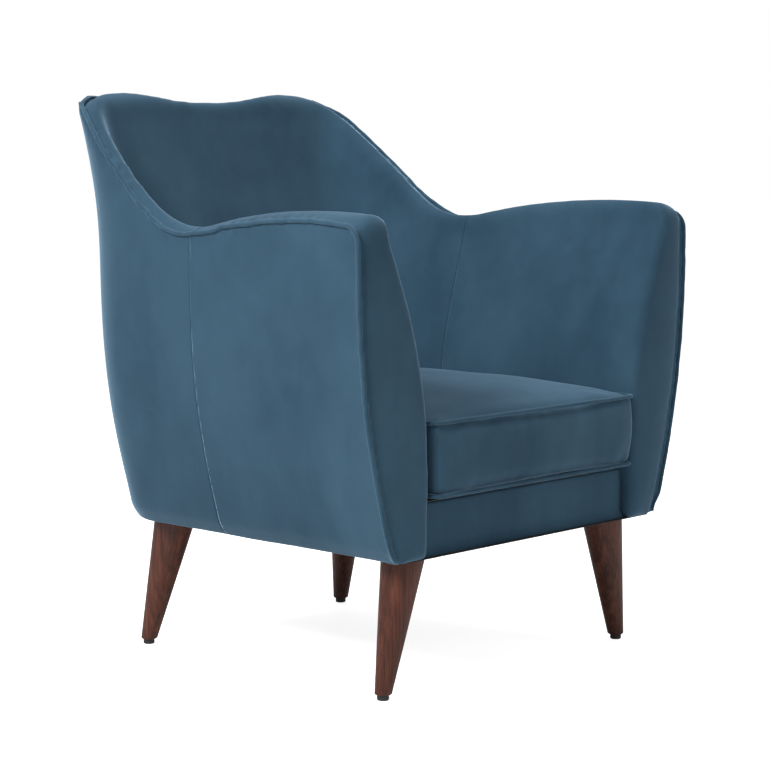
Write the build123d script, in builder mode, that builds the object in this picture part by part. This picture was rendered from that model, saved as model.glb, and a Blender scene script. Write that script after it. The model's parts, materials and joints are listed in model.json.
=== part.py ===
"""Upholstered tub armchair on four tapered wooden legs, with a loose seat cushion.

A hardwood frame carries springs, webbing and foam under a sewn cloth cover with
piped edges.  The chair faces -Y and stands on Z = 0; "left" and "right" are the
sitter's, so the left arm is on +X.  The origin is on the floor under the middle
of the chair.  All sizes are in millimetres.
"""
import os
from math import radians, sqrt, tan

from build123d import *

os.makedirs("parts", exist_ok=True)

# --- driving dimensions: the upholstered shell ------------------------------
HEIGHT = 840            # floor to the top of the horns of the back
SHELL_BOTTOM = 197      # floor to the underside, which is also the leg height
FRONT_Y = -332          # front faces of the arms
CUSHION_FRONT_Y = -347  # front face of the loose cushion, without its piping
SEAM_Y = 25             # side seam between an arm and the back
HALF_WIDTH = 379        # half width of the shell at the arm fronts, at its widest
WIDEST_Z = 590          # height of the widest point
LOWER_RADIUS = 1100     # curve of the sides below the widest point
UPPER_RADIUS = 3300     # curve of the sides above it
SPLAY = 0.12            # outward run of the sides for each mm towards the front
FOOT_SPLAY = 0.095      # the same at the underside
BACK_FOOT_Y = 270       # outer back at the underside
BACK_LEAN = 0.108       # backward run of the outer back for each mm of height
BACK_BOW = 12           # how far the back bows out in its middle
CORNER_RADIUS = 85      # back corners in plan, at the underside
CORNER_SWELL = 65       # how much larger they are at CORNER_SWELL_Z
CORNER_SWELL_Z = 620
HORN_RADIUS = 60        # back corners in plan, at the top
UNDERCUT = 8            # turn-in of the sides at the underside
UNDERCUT_HEIGHT = 18

# --- driving dimensions: the seat space --------------------------------------
SEAT_HALF_WIDTH = 236   # half width between the arms at the cushion
ROLL_START_Z = 320      # from here up, the inner arm faces curve outwards
ROLL_RADIUS = 640
INNER_TAPER = 0.036     # how the seat space narrows for each mm towards the back
SEAT_BACK_Y = 168       # inner face of the back behind the cushion
LUMBAR_Z = 520          # from ROLL_START_Z up to here, that face turns from upright to leaning
INNER_LEAN = 0.329      # backward run of the inner back above it
WING_WALL = 28          # thickness of the wings
WALL_BLEND = 50         # how softly the rolled arm runs into the thin wing
WALL_CORNER = 40        # difference between outer and inner corner radii

# --- driving dimensions: the top line ----------------------------------------
ARM_FRONT_Z = 652       # height of the arm's edge ahead of its front corner
ARM_HIGH = (-235, 660)  # (y, z) of the highest point of the arm's edge
VALLEY = (75, 616)      # (y, z) where the arm line meets the wing line
VALLEY_RADIUS = 150
HORN_Y = 334            # the rising wing line reaches HEIGHT here
BACK_DIP = 25           # how much lower the top is in the middle of the back
HORN_X = 238            # half distance between the two high points
HORN_DROP = (312, 830)  # (x, z) on the outer slope of a horn

# --- driving dimensions: cloth, piping and padding ---------------------------
COVER = 1.5             # velvet with its backing and wadding
WELT_DIAMETER = 6       # sewn piping cord
TOP_STEP = 45           # distance between the piping's corners and its first points
WING_FOAM_X = 150       # the foam of the back ends here and that of a wing begins
INNER_COVER_EDGE = 13   # the inner covers end this far inside the outer face, clear of the piping
RAIL_FACE_Y = -320      # front of the covered front rail
RAIL_PADDING = 4        # foam on the front rail
RAIL_COVER_LAP = 4.5    # how far its cover laps over the rail, under the deck pad
DECK_Z = 273.5          # top of the seat deck, under the cushion
DECK_CLOTH = 1
DECK_PAD = 8
DUST_COVER = 1

# --- driving dimensions: the loose cushion -----------------------------------
CUSHION_LOW_Z = 284     # seam of the bottom piping
CUSHION_HIGH_Z = 386    # seam of the top piping
CUSHION_CROWN = 38      # rise of the middle above the top seam
CUSHION_BELLY = 10      # fall of the underside below the bottom seam
CUSHION_GAP = 1.5       # free space between the piping and the shell
CUSHION_CORNER = 70     # back corners of the cushion in plan
CUSHION_FRONT_CORNER = 14
ZIP_LENGTH = 260
ZIP_TAPE_HEIGHT = 24
ZIP_CHAIN = 5           # height of the closed teeth
ZIP_TEETH = 2           # how far they stand off the tape
ZIP_TAPE = 1.2
SLIDER = (9, 3.5, 9)    # slider body: along, off and up the cushion's back
SLIDER_CLEARANCE = 0.4

# --- driving dimensions: the timber frame ------------------------------------
RAIL_THICKNESS = 25
RAIL_HEIGHT = 60
BLOCK = 54              # square leg blocks
FRONT_LEG_TOP = (235, -288)
FRONT_LEG_FOOT = (276, -287)
BACK_LEG_TOP = (199, 198)
BACK_LEG_FOOT = (221, 235)
POST_THICKNESS = 27     # arm posts, seen from the front
POST_DEPTH = 40
ARM_RAIL_TOP_Z = 602
ARM_RAIL_HEIGHT = 26
ARM_RAIL_WIDTH = 24
ARM_RAIL_FRONT_X = 344
ARM_RAIL_BEND = (301, 141)
ARM_RAIL_END = (239, 271)
BACK_POST_FOOT = (205, 206)
BACK_POST_HEAD = (224, 313)
BACK_POST_TOP_Z = 800
BACK_POST_FOOT_SIZE = 34
BACK_POST_HEAD_SIZE = 22
TOP_RAIL_TOP_Z = 790
TOP_RAIL_HEIGHT = 32
TOP_RAIL_THICKNESS = 20
TACK_RAIL_TOP_Z = 420
TACK_RAIL_HEIGHT = 40
TACK_RAIL_THICKNESS = 20
DOWEL_DIAMETER = 8
DOWEL_LENGTH = 36

# --- driving dimensions: legs and their fixings -------------------------------
LEG_TOP_DIAMETER = 62
LEG_FOOT_DIAMETER = 24
LEG_CHAMFER = 1.5
GLIDE_HEIGHT = 8
GLIDE_DIAMETER = 17
GLIDE_NAIL_DIAMETER = 3
GLIDE_NAIL_LENGTH = 18
BOLT_DIAMETER = 8
BOLT_IN_LEG = 40
BOLT_IN_BLOCK = 30
INSERT_DIAMETER = 12
INSERT_LENGTH = 20

# --- driving dimensions: springs and webbing -----------------------------------
SPRING_COUNT = 5
SPRING_SPACING = 80
SPRING_WIRE = 3.8
SPRING_PITCH = 26
SPRING_HALF_WIDTH = 11  # straight part of each cross bar, to one side
CLIP_WIDTH = 18
CLIP_PLATE = 1.2
STRAP_WIDTH = 50
STRAP_THICKNESS = 1.5
STRAP_PLACES = (-150, -60, 60, 150)
STAPLE_SPAN = 10
STAPLE_WIRE = 1.2
STAPLE_LEG = 6
STAPLE_STEP = 45

# --- values that follow ----------------------------------------------------------
WELT_RADIUS = WELT_DIAMETER / 2
RAIL_BOTTOM = SHELL_BOTTOM + DUST_COVER
RAIL_TOP = RAIL_BOTTOM + RAIL_HEIGHT
SPRING_Z = RAIL_TOP + SPRING_WIRE / 2 + CLIP_PLATE
RAIL_FRONT_Y = RAIL_FACE_Y + COVER + RAIL_PADDING
FRONT_BLOCK_Y = RAIL_FRONT_Y + BLOCK / 2
BACK_RAIL_Y = BACK_LEG_TOP[1] + BLOCK / 2
DECK_BACK_Y = BACK_RAIL_Y - 1


def save(builder, name):
    """Label a finished piece and write it as its own file."""
    builder.part.label = name
    export_step(builder.part, f"parts/{name}.step")


# ===== surfaces of the shell ======================================================
def side_x(y, z):
    """Half width of the shell's outside at depth y and height z."""
    radius = LOWER_RADIUS if z < WIDEST_Z else UPPER_RADIUS
    turn_in = radius - sqrt(radius**2 - (WIDEST_Z - z) ** 2)
    fall = max(0, WIDEST_Z - z) / (WIDEST_Z - SHELL_BOTTOM)
    splay = SPLAY - (SPLAY - FOOT_SPLAY) * fall
    return HALF_WIDTH - turn_in - splay * (y - FRONT_Y)


def back_y(z):
    """Depth of the shell's outside at its back corners."""
    return BACK_FOOT_Y + BACK_LEAN * (z - SHELL_BOTTOM)


def corner_radius(z):
    """Plan radius of the outer back corners."""
    if z < CORNER_SWELL_Z:
        return CORNER_RADIUS + CORNER_SWELL * (z - SHELL_BOTTOM) / (CORNER_SWELL_Z - SHELL_BOTTOM)
    rise = (z - CORNER_SWELL_Z) / (HEIGHT - CORNER_SWELL_Z)
    full = CORNER_RADIUS + CORNER_SWELL
    return full - (full - HORN_RADIUS) * rise**2


def soft_min(a, b):
    """The smaller of two lengths, with a smooth change-over between them."""
    overlap = max(0, WALL_BLEND - abs(a - b))
    return min(a, b) - overlap**2 / (4 * WALL_BLEND)


def seat_back_y(z):
    """Depth of the inner back at its corners: upright, then leaning."""
    bend = LUMBAR_Z - ROLL_START_Z
    rise = max(0, z - ROLL_START_Z)
    if rise < bend:
        return SEAT_BACK_Y + INNER_LEAN * rise**2 / (2 * bend)
    return SEAT_BACK_Y + INNER_LEAN * (rise - bend / 2)


def seat_front_x(z):
    """Half width between the arms at their front faces."""
    rise = min(max(0, z - ROLL_START_Z), ROLL_RADIUS * 0.9)
    rolled = SEAT_HALF_WIDTH + ROLL_RADIUS - sqrt(ROLL_RADIUS**2 - rise**2)
    return soft_min(rolled, side_x(FRONT_Y, z) - WING_WALL)


def seat_rear_x(z):
    """Half width of the seat space at the inner back."""
    rear = seat_back_y(z)
    tapered = seat_front_x(z) - INNER_TAPER * (rear - FRONT_Y)
    return soft_min(tapered, side_x(rear, z) - WING_WALL)


def plan_outline(front_x, front_y, rear_x, rear_y, bow):
    """Closed plan outline: straight front and sides, bowed back."""
    Polyline((-rear_x, rear_y), (-front_x, front_y), (front_x, front_y), (rear_x, rear_y))
    ThreePointArc((rear_x, rear_y), (0, rear_y + bow), (-rear_x, rear_y))


def outer_section(z, inset):
    """Plan section of the outside of the shell, set in by inset."""
    rear = back_y(z) - inset
    with BuildSketch(Plane.XY.offset(z)) as section:
        with BuildLine():
            plan_outline(side_x(FRONT_Y, z) - inset, FRONT_Y, side_x(rear, z) - inset, rear, BACK_BOW)
        make_face()
        fillet(section.vertices().group_by(Axis.Y)[-1], corner_radius(z) - inset)
    return section.sketch


def seat_section(z, growth):
    """Plan section of the seat space, let into its walls by growth."""
    rear = seat_back_y(z) + growth
    radius = max(corner_radius(z) - WALL_CORNER, WALL_CORNER / 2)
    with BuildSketch(Plane.XY.offset(z)) as section:
        with BuildLine():
            plan_outline(
                seat_front_x(z) + growth, CUSHION_FRONT_Y - WING_WALL, seat_rear_x(z) + growth, rear, BACK_BOW
            )
        make_face()
        fillet(section.vertices().group_by(Axis.Y)[-1], radius)
    return section.sketch


def spread(low, high, count):
    """Evenly spaced heights from low to high."""
    return [low + (high - low) * step / (count - 1) for step in range(count)]


def arm_and_wing_line():
    """Top line seen from the side: the arm's crest, the valley and the rising wing."""
    with BuildLine(Plane.YZ) as top_line:
        crest = ThreePointArc((FRONT_Y - WING_WALL, ARM_FRONT_Z), ARM_HIGH, VALLEY)
        wing = Line(crest @ 1, (HORN_Y, HEIGHT))
        fillet(top_line.vertices().sort_by_distance((0, VALLEY[0], VALLEY[1]))[0], VALLEY_RADIUS)
    return top_line


def top_waste(inset):
    """Everything above the top surface of the shell, lowered by inset."""
    top_line = arm_and_wing_line().line.moved(Location((0, 0, -inset)))
    roof = HEIGHT + BACK_FOOT_Y
    with BuildPart() as waste:
        with BuildSketch(Plane.YZ):
            with BuildLine():
                add(Plane.YZ.to_local_coords(top_line))
                first = (FRONT_Y - WING_WALL, ARM_FRONT_Z - inset)
                last = (HORN_Y, HEIGHT - inset)
                Polyline(last, (HORN_Y, roof), (first[0], roof), first)
            make_face()
        extrude(amount=HEIGHT, both=True)
        with BuildSketch(Plane.XZ):
            with BuildLine():
                low = HEIGHT - BACK_DIP - inset
                high = HEIGHT - inset
                hollow = TangentArc((0, low), (HORN_X / 2, (low + high) / 2), tangent=(1, 0))
                crown = TangentArc(hollow @ 1, (HORN_X, high), tangent=hollow % 1)
                slope = TangentArc(crown @ 1, (HORN_DROP[0], HORN_DROP[1] - inset), tangent=(1, 0))
                Polyline(
                    slope @ 1,
                    (HEIGHT, HORN_DROP[1] - 2 * (HEIGHT - HORN_DROP[0])),
                    (HEIGHT, roof),
                    (0, roof),
                    (0, low),
                )
            make_face()
            mirror(about=Plane.YZ)
        extrude(amount=HEIGHT, both=True)
    return waste.part


def outside_solid(inset):
    """Solid inside the shell's outer surface, before the top is cut."""
    knee = SHELL_BOTTOM + UNDERCUT_HEIGHT
    with BuildPart() as outside:
        loft([outer_section(RAIL_BOTTOM, UNDERCUT + inset), outer_section(knee, inset)], ruled=True)
        loft([outer_section(z, inset) for z in spread(knee, HEIGHT + 5, 6)])
    return outside.part


def seat_solid(growth):
    """The seat space above the deck, as a solid."""
    with BuildPart() as space:
        loft([seat_section(z, growth) for z in (DECK_Z - DECK_CLOTH, ROLL_START_Z)], ruled=True)
        loft([seat_section(z, growth) for z in spread(ROLL_START_Z, HEIGHT + 10, 9)])
    return space.part


def largest(part):
    """The biggest solid of a part, without the offcuts that trimming leaves."""
    return part.solids().sort_by(SortBy.VOLUME)[-1]


# ===== timber frame ====================================================================
def rail_dowels(x, y, direction):
    """Two dowels, one above the other, across one joint of the seat frame."""
    plane = Plane((x, y, RAIL_BOTTOM + RAIL_HEIGHT / 2), x_dir=(0, 0, 1), z_dir=direction)
    with BuildPart(plane) as pair:
        with Locations((-RAIL_HEIGHT / 5, 0), (RAIL_HEIGHT / 5, 0)):
            Cylinder(DOWEL_DIAMETER / 2, DOWEL_LENGTH)
    return pair.part


def post_dowels(x, y):
    """Two upright dowels under one post."""
    with BuildPart(Plane.XY.offset(RAIL_TOP)) as pair:
        with Locations((x, y - DOWEL_DIAMETER), (x, y + DOWEL_DIAMETER)):
            Cylinder(DOWEL_DIAMETER / 2, DOWEL_LENGTH)
    return pair.part


LEG_PLACES = {
    "front_left": (FRONT_LEG_TOP, FRONT_LEG_FOOT, 1),
    "front_right": (FRONT_LEG_TOP, FRONT_LEG_FOOT, -1),
    "back_left": (BACK_LEG_TOP, BACK_LEG_FOOT, 1),
    "back_right": (BACK_LEG_TOP, BACK_LEG_FOOT, -1),
}
BOLT_POINTS = [(side * top[0], top[1]) for top, foot, side in LEG_PLACES.values()]
BLOCK_CENTRES = [(side * FRONT_LEG_TOP[0], FRONT_BLOCK_Y) for side in (1, -1)]
BLOCK_CENTRES += [(side * BACK_LEG_TOP[0], BACK_LEG_TOP[1]) for side in (1, -1)]
FRONT_BLOCK_X = FRONT_LEG_TOP[0] - BLOCK / 2
FRONT_BLOCK_BACK_Y = FRONT_BLOCK_Y + BLOCK / 2
BACK_BLOCK_X = BACK_LEG_TOP[0] - BLOCK / 2
BACK_BLOCK_FRONT_Y = BACK_LEG_TOP[1] - BLOCK / 2
SIDE_RAIL_FRONT_X = FRONT_LEG_TOP[0] + BLOCK / 2
SIDE_RAIL_BACK_X = BACK_LEG_TOP[0] + BLOCK / 2
POST_FOOT_X = SIDE_RAIL_FRONT_X - POST_THICKNESS / 2 + 2
POST_MIDDLE_Y = RAIL_FRONT_Y + 8 + POST_DEPTH / 2
BACK_RAIL_MIDDLE_Y = BACK_RAIL_Y - RAIL_THICKNESS / 2
FRONT_RAIL_MIDDLE_Y = RAIL_FRONT_Y + RAIL_THICKNESS / 2


def drill_for_bolts(depth, diameter):
    """Upright holes above the underside at every leg fixing."""
    with BuildPart(Plane.XY.offset(RAIL_BOTTOM - 1)) as drills:
        with Locations(*BOLT_POINTS):
            Cylinder(diameter / 2, depth + 1, align=(Align.CENTER, Align.CENTER, Align.MIN))
    return drills.part


with BuildPart() as frame_dowels:
    for side in (1, -1):
        add(rail_dowels(side * FRONT_BLOCK_X, FRONT_RAIL_MIDDLE_Y, (1, 0, 0)))
        add(rail_dowels(side * BACK_BLOCK_X, BACK_RAIL_MIDDLE_Y, (1, 0, 0)))
        add(rail_dowels(side * (SIDE_RAIL_FRONT_X - RAIL_THICKNESS / 2), FRONT_BLOCK_BACK_Y, (0, 1, 0)))
        add(rail_dowels(side * (SIDE_RAIL_BACK_X - RAIL_THICKNESS / 2), BACK_BLOCK_FRONT_Y, (0, 1, 0)))
        add(post_dowels(side * (POST_FOOT_X + 1), POST_MIDDLE_Y))
        add(post_dowels(side * BACK_POST_FOOT[0], BACK_POST_FOOT[1]))

with BuildPart() as staples:
    STAPLE_Z = SHELL_BOTTOM - STAPLE_WIRE
    across = [STAPLE_STEP * (step - 3.5) for step in range(8)]
    along = [FRONT_BLOCK_BACK_Y + STAPLE_STEP * (step + 1) for step in range(8)]
    run = (SIDE_RAIL_BACK_X - SIDE_RAIL_FRONT_X) / (BACK_BLOCK_FRONT_Y - FRONT_BLOCK_BACK_Y)
    places = [Location((x, FRONT_RAIL_MIDDLE_Y, STAPLE_Z)) for x in across]
    back_across = [x for x in across if abs(x) < BACK_BLOCK_X - STAPLE_SPAN]
    places += [Location((x, BACK_RAIL_MIDDLE_Y, STAPLE_Z)) for x in back_across]
    for side in (1, -1):
        for y in along:
            x = SIDE_RAIL_FRONT_X - RAIL_THICKNESS / 2 + run * (y - FRONT_BLOCK_BACK_Y)
            places.append(Location((side * x, y, STAPLE_Z), (0, 0, 90)))
    with Locations(places):
        Box(STAPLE_SPAN, STAPLE_WIRE, STAPLE_WIRE, align=(Align.CENTER, Align.CENTER, Align.MIN))
    leg_shift = (STAPLE_SPAN - STAPLE_WIRE) / 2
    with Locations([place * Location((end * leg_shift, 0, 0)) for place in places for end in (1, -1)]):
        Box(STAPLE_WIRE, STAPLE_WIRE, STAPLE_LEG, align=(Align.CENTER, Align.CENTER, Align.MIN))

with BuildPart() as leg_blocks:
    with Locations([(x, y, RAIL_BOTTOM) for x, y in BLOCK_CENTRES]):
        Box(BLOCK, BLOCK, RAIL_HEIGHT, align=(Align.CENTER, Align.CENTER, Align.MIN))
    add(drill_for_bolts(INSERT_LENGTH, INSERT_DIAMETER), mode=Mode.SUBTRACT)
    add(drill_for_bolts(BOLT_IN_BLOCK, BOLT_DIAMETER), mode=Mode.SUBTRACT)
    add(frame_dowels.part, mode=Mode.SUBTRACT)

with BuildPart() as front_rail:
    with Locations((0, FRONT_RAIL_MIDDLE_Y, RAIL_BOTTOM)):
        Box(2 * FRONT_BLOCK_X, RAIL_THICKNESS, RAIL_HEIGHT, align=(Align.CENTER, Align.CENTER, Align.MIN))
    add(frame_dowels.part, mode=Mode.SUBTRACT)
    add(staples.part, mode=Mode.SUBTRACT)

with BuildPart() as back_rail:
    with Locations((0, BACK_RAIL_MIDDLE_Y, RAIL_BOTTOM)):
        Box(2 * BACK_BLOCK_X, RAIL_THICKNESS, RAIL_HEIGHT, align=(Align.CENTER, Align.CENTER, Align.MIN))
    add(frame_dowels.part, mode=Mode.SUBTRACT)
    add(staples.part, mode=Mode.SUBTRACT)

with BuildPart() as left_side_rail:
    with BuildSketch(Plane.XY.offset(RAIL_BOTTOM)):
        with BuildLine():
            Polyline(
                (SIDE_RAIL_FRONT_X, FRONT_BLOCK_BACK_Y),
                (SIDE_RAIL_BACK_X, BACK_BLOCK_FRONT_Y),
                (SIDE_RAIL_BACK_X - RAIL_THICKNESS, BACK_BLOCK_FRONT_Y),
                (SIDE_RAIL_FRONT_X - RAIL_THICKNESS, FRONT_BLOCK_BACK_Y),
                close=True,
            )
        make_face()
    extrude(amount=RAIL_HEIGHT)
    add(frame_dowels.part, mode=Mode.SUBTRACT)
    add(staples.part, mode=Mode.SUBTRACT)

with BuildPart() as left_arm_post:
    rail_underside = ARM_RAIL_TOP_Z - ARM_RAIL_HEIGHT
    with BuildSketch(Plane.XZ.offset(-(POST_MIDDLE_Y - POST_DEPTH / 2))):
        with BuildLine():
            half = POST_THICKNESS / 2
            Polyline(
                (POST_FOOT_X - half, RAIL_TOP),
                (POST_FOOT_X + half, RAIL_TOP),
                (ARM_RAIL_FRONT_X + half - 8, rail_underside),
                (ARM_RAIL_FRONT_X - half - 8, rail_underside),
                close=True,
            )
        make_face()
    extrude(amount=-POST_DEPTH)
    add(frame_dowels.part, mode=Mode.SUBTRACT)

with BuildPart() as left_back_post:
    with BuildSketch(Plane.XY.offset(RAIL_TOP)) as post_foot:
        with Locations(BACK_POST_FOOT):
            Rectangle(BACK_POST_FOOT_SIZE, BACK_POST_FOOT_SIZE)
    with BuildSketch(Plane.XY.offset(BACK_POST_TOP_Z)) as post_head:
        with Locations(BACK_POST_HEAD):
            Rectangle(BACK_POST_HEAD_SIZE, BACK_POST_HEAD_SIZE)
    loft(ruled=True)
    add(frame_dowels.part, mode=Mode.SUBTRACT)

with BuildPart() as left_arm_rail:
    with BuildSketch(Plane.XY.offset(ARM_RAIL_TOP_Z - ARM_RAIL_HEIGHT)):
        with BuildLine():
            straight = Line((ARM_RAIL_FRONT_X, POST_MIDDLE_Y - POST_DEPTH / 2), ARM_RAIL_BEND)
            TangentArc(straight @ 1, ARM_RAIL_END, tangent=straight % 1)
        trace(line_width=ARM_RAIL_WIDTH)
    extrude(amount=ARM_RAIL_HEIGHT)
    add(left_back_post.part, mode=Mode.SUBTRACT)


def post_centre(z):
    """Centre of the left back post at height z."""
    climb = (z - RAIL_TOP) / (BACK_POST_TOP_Z - RAIL_TOP)
    x = BACK_POST_FOOT[0] + climb * (BACK_POST_HEAD[0] - BACK_POST_FOOT[0])
    y = BACK_POST_FOOT[1] + climb * (BACK_POST_HEAD[1] - BACK_POST_FOOT[1])
    return x, y


def cross_rail(top_z, height, thickness, bow):
    """A rail between the two back posts, bowed backwards in its middle."""
    x, y = post_centre(top_z - height / 2)
    with BuildPart() as rail:
        with BuildSketch(Plane.XY.offset(top_z - height)):
            with BuildLine():
                ThreePointArc((-x, y), (0, y + bow), (x, y))
            trace(line_width=thickness)
        extrude(amount=height)
        add(left_back_post.part, mode=Mode.SUBTRACT)
        add(mirror(left_back_post.part, about=Plane.YZ), mode=Mode.SUBTRACT)
    return largest(rail.part)


with BuildPart() as back_top_rail:
    add(cross_rail(TOP_RAIL_TOP_Z, TOP_RAIL_HEIGHT, TOP_RAIL_THICKNESS, BACK_BOW))

with BuildPart() as back_tack_rail:
    add(cross_rail(TACK_RAIL_TOP_Z, TACK_RAIL_HEIGHT, TACK_RAIL_THICKNESS, 1))


def right_hand(left_part):
    """The sitter's right-hand copy of a left-hand piece."""
    with BuildPart() as right:
        mirror(left_part, about=Plane.YZ)
    return right


right_side_rail = right_hand(left_side_rail.part)
right_arm_post = right_hand(left_arm_post.part)
right_arm_rail = right_hand(left_arm_rail.part)
right_back_post = right_hand(left_back_post.part)

# ===== legs and their fixings ==========================================================
def leg(top, foot, side):
    """A straight tapered leg, raked outwards, with level ends."""
    head = Vector(side * top[0], top[1], SHELL_BOTTOM)
    toe = Vector(side * foot[0], foot[1], GLIDE_HEIGHT)
    along = (head - toe).normalized()
    taper = (LEG_TOP_DIAMETER - LEG_FOOT_DIAMETER) / (head - toe).length / 2
    spare = LEG_TOP_DIAMETER / 2
    length = (head - toe).length + spare
    with BuildPart() as blank:
        with BuildSketch(Plane(toe - along * GLIDE_HEIGHT, z_dir=along)):
            Circle(LEG_FOOT_DIAMETER / 2 - taper * GLIDE_HEIGHT)
        with BuildSketch(Plane(toe + along * length, z_dir=along)):
            Circle(LEG_FOOT_DIAMETER / 2 + taper * length)
        loft(ruled=True)
        split(bisect_by=Plane.XY.offset(SHELL_BOTTOM), keep=Keep.BOTTOM)
        split(bisect_by=Plane.XY.offset(GLIDE_HEIGHT), keep=Keep.TOP)
        chamfer(blank.edges().group_by(Axis.Z)[0], LEG_CHAMFER)
        with Locations((head.X, head.Y, SHELL_BOTTOM - BOLT_IN_LEG)):
            Cylinder(
                BOLT_DIAMETER / 2, BOLT_IN_LEG, align=(Align.CENTER, Align.CENTER, Align.MIN), mode=Mode.SUBTRACT
            )
        with Locations((toe.X, toe.Y, GLIDE_HEIGHT)):
            Cylinder(
                GLIDE_NAIL_DIAMETER / 2,
                GLIDE_NAIL_LENGTH,
                align=(Align.CENTER, Align.CENTER, Align.MIN),
                mode=Mode.SUBTRACT,
            )
    return blank


legs = {f"{place}_leg": leg(*where) for place, where in LEG_PLACES.items()}

with BuildPart() as leg_bolts:
    with Locations([(x, y, SHELL_BOTTOM - BOLT_IN_LEG) for x, y in BOLT_POINTS]):
        Cylinder(
            BOLT_DIAMETER / 2,
            BOLT_IN_LEG + DUST_COVER + BOLT_IN_BLOCK,
            align=(Align.CENTER, Align.CENTER, Align.MIN),
        )

with BuildPart() as insert_nuts:
    with Locations([(x, y, RAIL_BOTTOM) for x, y in BOLT_POINTS]):
        Cylinder(INSERT_DIAMETER / 2, INSERT_LENGTH, align=(Align.CENTER, Align.CENTER, Align.MIN))
        Cylinder(
            BOLT_DIAMETER / 2,
            INSERT_LENGTH,
            align=(Align.CENTER, Align.CENTER, Align.MIN),
            mode=Mode.SUBTRACT,
        )

with BuildPart() as leg_glides:
    with BuildSketch(Plane.XZ):
        with BuildLine():
            disc = GLIDE_DIAMETER / 2
            Polyline((0, GLIDE_HEIGHT), (disc, GLIDE_HEIGHT), (disc, 2))
            RadiusArc((disc, 2), (disc - 2.5, 0), 2.6, short_sagitta=True)
            Polyline((disc - 2.5, 0), (0, 0), (0, GLIDE_HEIGHT))
        make_face()
    revolve(axis=Axis.Z)
    Cylinder(
        GLIDE_NAIL_DIAMETER / 2,
        GLIDE_HEIGHT + GLIDE_NAIL_LENGTH,
        align=(Align.CENTER, Align.CENTER, Align.MIN),
    )
one_glide = leg_glides.part
with BuildPart() as leg_glides:
    with Locations([(side * foot[0], foot[1]) for top, foot, side in LEG_PLACES.values()]):
        add(one_glide)

# ===== springs, webbing and the seat deck ===============================================
FRONT_CLIP_Y = FRONT_RAIL_MIDDLE_Y
SPRING_BARS = round((BACK_RAIL_MIDDLE_Y - FRONT_CLIP_Y) / SPRING_PITCH)
BAR_STEP = (BACK_RAIL_MIDDLE_Y - FRONT_CLIP_Y) / SPRING_BARS
SPRING_XS = [SPRING_SPACING * (number - (SPRING_COUNT - 1) / 2) for number in range(SPRING_COUNT)]

with BuildPart() as one_spring:
    with BuildLine(Plane.XY.offset(SPRING_Z)) as zigzag:
        for bar in range(SPRING_BARS + 1):
            y = FRONT_CLIP_Y + bar * BAR_STEP
            turn = 1 if bar % 2 == 0 else -1
            Line((-turn * SPRING_HALF_WIDTH, y), (turn * SPRING_HALF_WIDTH, y))
            if bar < SPRING_BARS:
                ThreePointArc(
                    (turn * SPRING_HALF_WIDTH, y),
                    (turn * (SPRING_HALF_WIDTH + BAR_STEP / 2), y + BAR_STEP / 2),
                    (turn * SPRING_HALF_WIDTH, y + BAR_STEP),
                )
    with BuildSketch(Plane((-SPRING_HALF_WIDTH, FRONT_CLIP_Y, SPRING_Z), z_dir=(1, 0, 0))):
        Circle(SPRING_WIRE / 2)
    sweep(path=zigzag.wires()[0])

with BuildPart() as seat_springs:
    with Locations([(x, 0, 0) for x in SPRING_XS]):
        add(one_spring.part)


def clip(y, facing):
    """Hook nailed to a rail's top; facing is the side, along Y, on which it is open."""
    hook = SPRING_WIRE / 2 + CLIP_PLATE
    with BuildPart() as hooked:
        with BuildSketch(Plane.YZ.offset(-CLIP_WIDTH / 2)):
            with Locations((y, SPRING_Z)):
                Circle(hook)
            with Locations((y - facing * hook, RAIL_TOP)):
                Rectangle(2 * hook, CLIP_PLATE, align=(Align.CENTER, Align.MIN))
            with Locations((y, SPRING_Z)):
                Circle(SPRING_WIRE / 2, mode=Mode.SUBTRACT)
            with Locations((y + facing * hook / 2, SPRING_Z)):
                Rectangle(hook, SPRING_WIRE, mode=Mode.SUBTRACT)
        extrude(amount=CLIP_WIDTH)
    return hooked.part


with BuildPart() as spring_clips:
    with Locations([(x, 0, 0) for x in SPRING_XS]):
        add(clip(FRONT_CLIP_Y, 1))
        add(clip(BACK_RAIL_MIDDLE_Y, -1))


def strap(x):
    """One strap up the back, lying on the fronts of both cross rails."""
    reach = abs(x) + STRAP_WIDTH / 2
    post_x, post_y = post_centre(TOP_RAIL_TOP_Z - TOP_RAIL_HEIGHT / 2)
    high_y = post_y + BACK_BOW * (1 - (reach / post_x) ** 2) - TOP_RAIL_THICKNESS / 2 - STRAP_THICKNESS
    low_y = post_centre(TACK_RAIL_TOP_Z - TACK_RAIL_HEIGHT / 2)[1] - TACK_RAIL_THICKNESS / 2 - STRAP_THICKNESS
    with BuildPart() as one_strap:
        with BuildSketch(Plane.YZ.offset(x - STRAP_WIDTH / 2)):
            with BuildLine():
                Polyline(
                    (low_y, TACK_RAIL_TOP_Z - TACK_RAIL_HEIGHT + 5),
                    (low_y, TACK_RAIL_TOP_Z),
                    (high_y, TOP_RAIL_TOP_Z - TOP_RAIL_HEIGHT),
                    (high_y, TOP_RAIL_TOP_Z - 5),
                )
            trace(line_width=STRAP_THICKNESS)
        extrude(amount=STRAP_WIDTH)
    return one_strap.part


with BuildPart() as back_webbing:
    for strap_x in STRAP_PLACES:
        add(strap(strap_x))


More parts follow.
